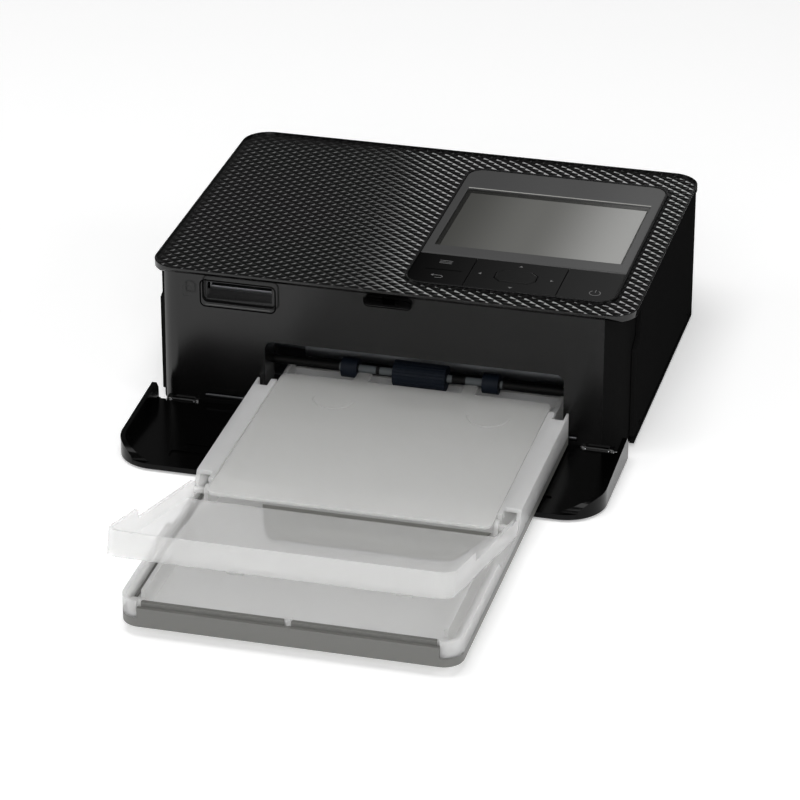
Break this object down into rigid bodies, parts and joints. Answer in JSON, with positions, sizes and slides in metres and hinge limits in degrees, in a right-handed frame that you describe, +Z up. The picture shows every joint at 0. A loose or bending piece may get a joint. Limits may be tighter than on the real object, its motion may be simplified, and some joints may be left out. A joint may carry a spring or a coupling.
{
  "type": "compact photo printer",
  "caption": "Compact dye-transfer photo printer, lying open: cover down, paper cassette in its mouth with the output lid raised, display and keys on top, rollers and ribbon inside.",
  "frame": {"origin": "centre of the printer body's footprint on the table, where its rubber feet stand", "axes": "+X to the right seen from the front, +Y to the back, +Z up"},
  "size_m": [0.1822, 0.3106, 0.0576],
  "materials": {
    "body_black": "satin moulded black plastic",
    "cover_black": "smooth satin black plastic",
    "top_black": "black plastic with a fine diamond knurl inside a smooth rim",
    "foot_rubber": "matt rubber",
    "screw_steel": "zinc-plated steel",
    "pin_steel": "plain ground steel",
    "rod_steel": "bright drawn rod",
    "port_metal": "tinned sheet steel",
    "panel_grey": "dark grey glossy window",
    "screen_glass": "switched-off display behind its window",
    "board_green": "green circuit board",
    "dome_metal": "bright snap domes",
    "key_black": "glossy black keys with pale printed signs",
    "inner_plastic": "dark plastic",
    "chassis_steel": "zinc-plated sheet steel",
    "roller_rubber": "dark blue ribbed rubber on a pale shaft",
    "pinch_rubber": "smooth dark rubber on a steel shaft",
    "capstan_steel": "finely etched steel roller",
    "gear_white": "natural acetal",
    "pinion_brass": "cut brass",
    "motor_steel": "plated motor can",
    "head_aluminium": "cast aluminium heat sink",
    "ink_grey": "dark grey ribbon case",
    "spool_grey": "ribbon wound on dark spools",
    "ribbon_film": "thin dye film",
    "tray_grey": "grey moulded plastic",
    "tray_clear": "milky translucent plastic",
    "lid_clear": "milky translucent plastic, its floor glossy",
    "plate_grey": "grey moulded plastic"
  },
  "bodies": {
    "printer": {"base_case": "body_black", "feet": "foot_rubber", "case_screws": "screw_steel", "front_bezel": "body_black", "top_cover": "top_black", "left_panel": "body_black", "right_frame": "body_black", "rear_panel": "body_black", "door_pins": "pin_steel", "cover_pins": "pin_steel", "front_rods": "rod_steel", "latch_keeper": "key_black", "card_reader": "port_metal", "display_panel": "panel_grey", "lcd_screen": "screen_glass", "panel_board": "board_green", "key_domes": "dome_metal", "chassis": "chassis_steel", "motor_bracket": "chassis_steel", "feed_motor": "motor_steel", "ribbon_motor": "motor_steel", "head_pins": "pin_steel", "ink_cassette": "ink_grey", "ink_ribbon": "ribbon_film", "main_board": "board_green", "dc_jack": "inner_plastic", "usb_port": "port_metal"},
    "cover": {"front_cover": "cover_black"},
    "side_door": {"ink_door": "body_black"},
    "cassette": {"cassette_base": "tray_grey", "cassette_body": "tray_clear", "floor_plate": "plate_grey"},
    "paper_lid": {"inner_lid": "tray_clear"},
    "output_lid": {"outer_lid": "lid_clear"},
    "left_button": {"left_key": "key_black"},
    "pad_rocker": {"nav_carrier": "inner_plastic"},
    "pad": {"nav_pad": "key_black"},
    "ok_button": {"ok_key": "key_black"},
    "power_button": {"power_key": "key_black"},
    "pickup": {"pickup_roller": "roller_rubber", "pickup_gear": "gear_white"},
    "capstan": {"capstan_roller": "capstan_steel", "capstan_gear": "gear_white"},
    "pinch": {"pinch_roller": "pinch_rubber"},
    "platen": {"platen_roller": "pinch_rubber"},
    "front_idler_gear": {"front_idler": "gear_white"},
    "rear_idler_gear": {"rear_idler": "gear_white"},
    "feed_drive": {"feed_pinion": "pinion_brass"},
    "ribbon_drive": {"ribbon_pinion": "pinion_brass"},
    "takeup": {"takeup_spool": "spool_grey", "takeup_gear": "gear_white"},
    "supply": {"supply_spool": "spool_grey"},
    "head": {"print_head": "head_aluminium"}
  },
  "joints": [
    {"name": "cover_hinge", "type": "hinge", "parent": "printer", "child": "cover", "pos_m": [0, -0.065, 0.0025], "axis": [-1, 0, 0], "range_deg": [0, 1]},
    {"name": "cassette_slide", "type": "slide", "parent": "printer", "child": "cassette", "axis": [0, -1, 0], "range_m": [0, 0.06]},
    {"name": "output_lid_hinge", "type": "hinge", "parent": "cassette", "child": "output_lid", "pos_m": [0.0094, -0.15, 0.0134], "axis": [-1, 0, 0], "range_deg": [0, 120]},
    {"name": "paper_lid_hinge", "type": "hinge", "parent": "cassette", "child": "paper_lid", "pos_m": [0.0094, -0.1442, 0.0148], "axis": [1, 0, 0], "range_deg": [0, 7]},
    {"name": "ink_door_hinge", "type": "hinge", "parent": "printer", "child": "side_door", "pos_m": [0.0893, 0, 0.0046], "axis": [0, 1, 0], "range_deg": [0, 90]},
    {"name": "head_lift", "type": "hinge", "parent": "printer", "child": "head", "pos_m": [0.0094, 0.044, 0.047], "axis": [-1, 0, 0], "range_deg": [0, 3], "stiffness_Nm_per_rad": 0.5},
    {"name": "left_key_rock", "type": "hinge", "parent": "printer", "child": "left_button", "pos_m": [0.014, -0.04155, 0.0551], "axis": [1, 0, 0], "range_deg": [-1.2, 1.2], "stiffness_Nm_per_rad": 0.4},
    {"name": "pad_rock_sideways", "type": "hinge", "parent": "printer", "child": "pad_rocker", "pos_m": [0.0423, -0.04155, 0.0538], "axis": [0, 1, 0], "range_deg": [-1.2, 1.2], "stiffness_Nm_per_rad": 0.6},
    {"name": "pad_rock_fore_aft", "type": "hinge", "parent": "pad_rocker", "child": "pad", "pos_m": [0.0423, -0.04155, 0.0551], "axis": [1, 0, 0], "range_deg": [-1.2, 1.2], "stiffness_Nm_per_rad": 0.6},
    {"name": "ok_press", "type": "slide", "parent": "printer", "child": "ok_button", "axis": [0, 0, -1], "range_m": [0, 0.0004], "stiffness_N_per_m": 1500},
    {"name": "power_press", "type": "slide", "parent": "printer", "child": "power_button", "axis": [0, 0, -1], "range_m": [0, 0.0004], "stiffness_N_per_m": 1500},
    {"name": "capstan_turn", "type": "hinge", "parent": "printer", "child": "capstan", "pos_m": [0.0094, -0.024, 0.01085], "axis": [1, 0, 0], "continuous": true},
    {"name": "feed_drive_turn", "type": "hinge", "parent": "printer", "child": "feed_drive", "pos_m": [-0.06, -0.01706, 0.01912], "axis": [1, 0, 0], "continuous": true},
    {"name": "rear_idler_turn", "type": "hinge", "parent": "printer", "child": "rear_idler_gear", "pos_m": [-0.06, -0.02856, 0.02064], "axis": [1, 0, 0], "continuous": true},
    {"name": "front_idler_turn", "type": "hinge", "parent": "printer", "child": "front_idler_gear", "pos_m": [-0.06, -0.0375, 0.02415], "axis": [1, 0, 0], "continuous": true},
    {"name": "pickup_turn", "type": "hinge", "parent": "printer", "child": "pickup", "pos_m": [0.0094, -0.05, 0.017], "axis": [1, 0, 0], "continuous": true},
    {"name": "pinch_turn", "type": "hinge", "parent": "printer", "child": "pinch", "pos_m": [0.0094, -0.024, 0.01815], "axis": [1, 0, 0], "continuous": true},
    {"name": "platen_turn", "type": "hinge", "parent": "printer", "child": "platen", "pos_m": [0.0094, 0.006, 0.00985], "axis": [1, 0, 0], "continuous": true},
    {"name": "takeup_turn", "type": "hinge", "parent": "printer", "child": "takeup", "pos_m": [0.0094, 0.028, 0.031], "axis": [1, 0, 0], "continuous": true},
    {"name": "ribbon_drive_turn", "type": "hinge", "parent": "printer", "child": "ribbon_drive", "pos_m": [-0.06, 0.04176, 0.02136], "axis": [1, 0, 0], "continuous": true},
    {"name": "supply_turn", "type": "hinge", "parent": "printer", "child": "supply", "pos_m": [0.0094, -0.016, 0.031], "axis": [1, 0, 0], "continuous": true}
  ],
  "couplings": [
    {"joint": "feed_drive_turn", "follows": "capstan_turn", "ratio": -1.25},
    {"joint": "rear_idler_turn", "follows": "capstan_turn", "ratio": -1.25},
    {"joint": "front_idler_turn", "follows": "capstan_turn", "ratio": 1.25},
    {"joint": "pickup_turn", "follows": "capstan_turn", "ratio": -0.625},
    {"joint": "pinch_turn", "follows": "capstan_turn", "ratio": -1.3333},
    {"joint": "platen_turn", "follows": "capstan_turn", "ratio": 0.8},
    {"joint": "ribbon_drive_turn", "follows": "takeup_turn", "ratio": -2.5},
    {"joint": "supply_turn", "follows": "takeup_turn", "ratio": 0.81818}
  ]
}
